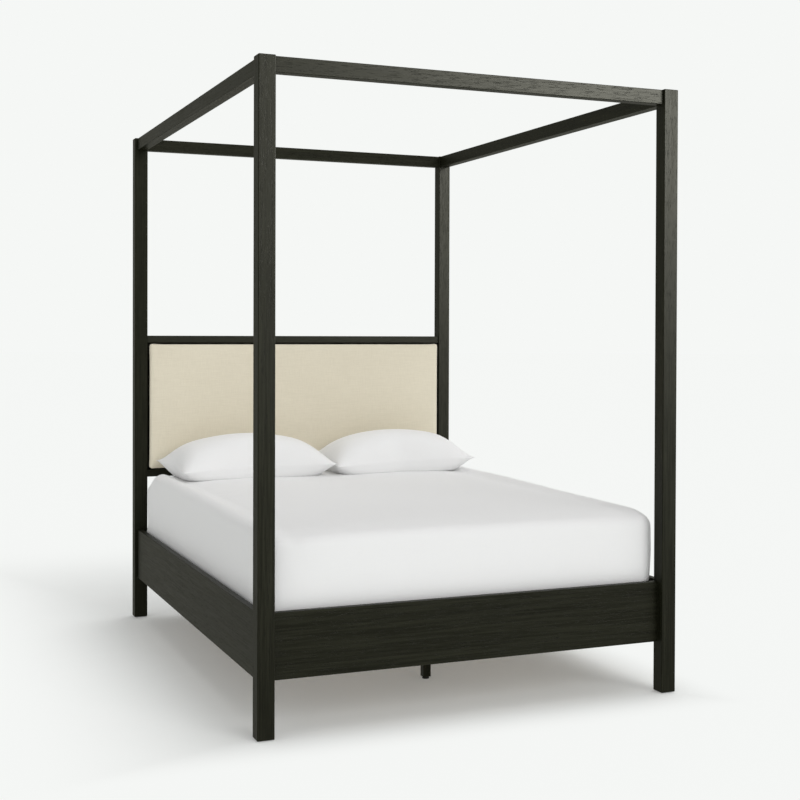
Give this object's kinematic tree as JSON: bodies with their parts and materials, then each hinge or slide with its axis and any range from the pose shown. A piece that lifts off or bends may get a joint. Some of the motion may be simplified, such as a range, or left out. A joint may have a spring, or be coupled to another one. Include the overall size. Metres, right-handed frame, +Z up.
{
  "type": "four poster canopy bed",
  "caption": "Four poster bed with an open rectangular canopy frame, an upholstered headboard panel, a slatted base, and a mattress with a fitted sheet and pillows.",
  "frame": {"origin": "on the floor, at the middle of the bed's footprint", "axes": "+Z up; +Y from the foot of the bed to the headboard; +X to the right of a person standing at the foot and looking at the headboard"},
  "size_m": [1.63, 2.2, 2.28],
  "materials": {
    "dark_wood": "satin open-grain dark stain",
    "plain_wood": "plain sanded",
    "linen": "woven linen",
    "sheet_cotton": "smooth cotton percale",
    "pillow_cotton": "smooth cotton percale",
    "steel": "zinc plated",
    "dark_plastic": "matte"
  },
  "bodies": {
    "frame": {"beam_hanger_foot": "steel", "beam_hanger_head": "steel", "board_dowels": "plain_wood", "bracket_bolts": "steel", "bracket_screws": "steel", "bracket_sleeves": "steel", "canopy_bolts": "steel", "canopy_caps": "dark_plastic", "canopy_dowels": "plain_wood", "canopy_nuts": "steel", "canopy_rail_foot": "dark_wood", "canopy_rail_head": "dark_wood", "canopy_rail_left": "dark_wood", "canopy_rail_right": "dark_wood", "canopy_washers": "steel", "centre_beam": "dark_wood", "centre_leg_foot": "dark_wood", "centre_leg_head": "dark_wood", "centre_leg_middle": "dark_wood", "cleat_screws": "steel", "footboard": "dark_wood", "head_rail": "dark_wood", "headboard_back_panel": "dark_wood", "headboard_bottom_rail": "dark_wood", "headboard_dowels": "plain_wood", "headboard_pad": "linen", "headboard_top_rail": "dark_wood", "leg_bolts": "steel", "leg_inserts": "steel", "leg_nuts": "steel", "pad_board": "plain_wood", "panel_screws": "steel", "panel_spacer_lower": "plain_wood", "panel_spacer_upper": "plain_wood", "post_foot_left": "dark_wood", "post_foot_right": "dark_wood", "post_glides": "dark_plastic", "post_head_left": "dark_wood", "post_head_right": "dark_wood", "rail_bracket_foot_left": "steel", "rail_bracket_foot_right": "steel", "rail_bracket_head_left": "steel", "rail_bracket_head_right": "steel", "side_rail_left": "dark_wood", "side_rail_right": "dark_wood", "slat_cleat_left": "dark_wood", "slat_cleat_right": "dark_wood", "slat_screws": "steel", "slats": "plain_wood", "spacer_screws": "steel"},
    "leveller_foot": {"leveller_foot_foot": "dark_plastic", "leveller_stud_foot": "steel"},
    "leveller_head": {"leveller_foot_head": "dark_plastic", "leveller_stud_head": "steel"},
    "leveller_middle": {"leveller_foot_middle": "dark_plastic", "leveller_stud_middle": "steel"},
    "mattress": {"mattress": "sheet_cotton"},
    "pillow_left": {"pillow_left": "pillow_cotton"},
    "pillow_right": {"pillow_right": "pillow_cotton"}
  },
  "joints": [
    {"name": "leveller_foot_travel", "type": "slide", "parent": "frame", "child": "leveller_foot", "axis": [0, 0, 1], "range_m": [-0.012, 0.002]},
    {"name": "leveller_middle_travel", "type": "slide", "parent": "frame", "child": "leveller_middle", "axis": [0, 0, 1], "range_m": [-0.012, 0.002]},
    {"name": "leveller_head_travel", "type": "slide", "parent": "frame", "child": "leveller_head", "axis": [0, 0, 1], "range_m": [-0.012, 0.002]},
    {"name": "mattress_lift", "type": "slide", "parent": "frame", "child": "mattress", "axis": [0, 0, 1], "range_m": [0, 0.3]},
    {"name": "pillow_left_lift", "type": "slide", "parent": "mattress", "child": "pillow_left", "axis": [0, 0, 1], "range_m": [0, 0.3]},
    {"name": "pillow_right_lift", "type": "slide", "parent": "mattress", "child": "pillow_right", "axis": [0, 0, 1], "range_m": [0, 0.3]}
  ]
}
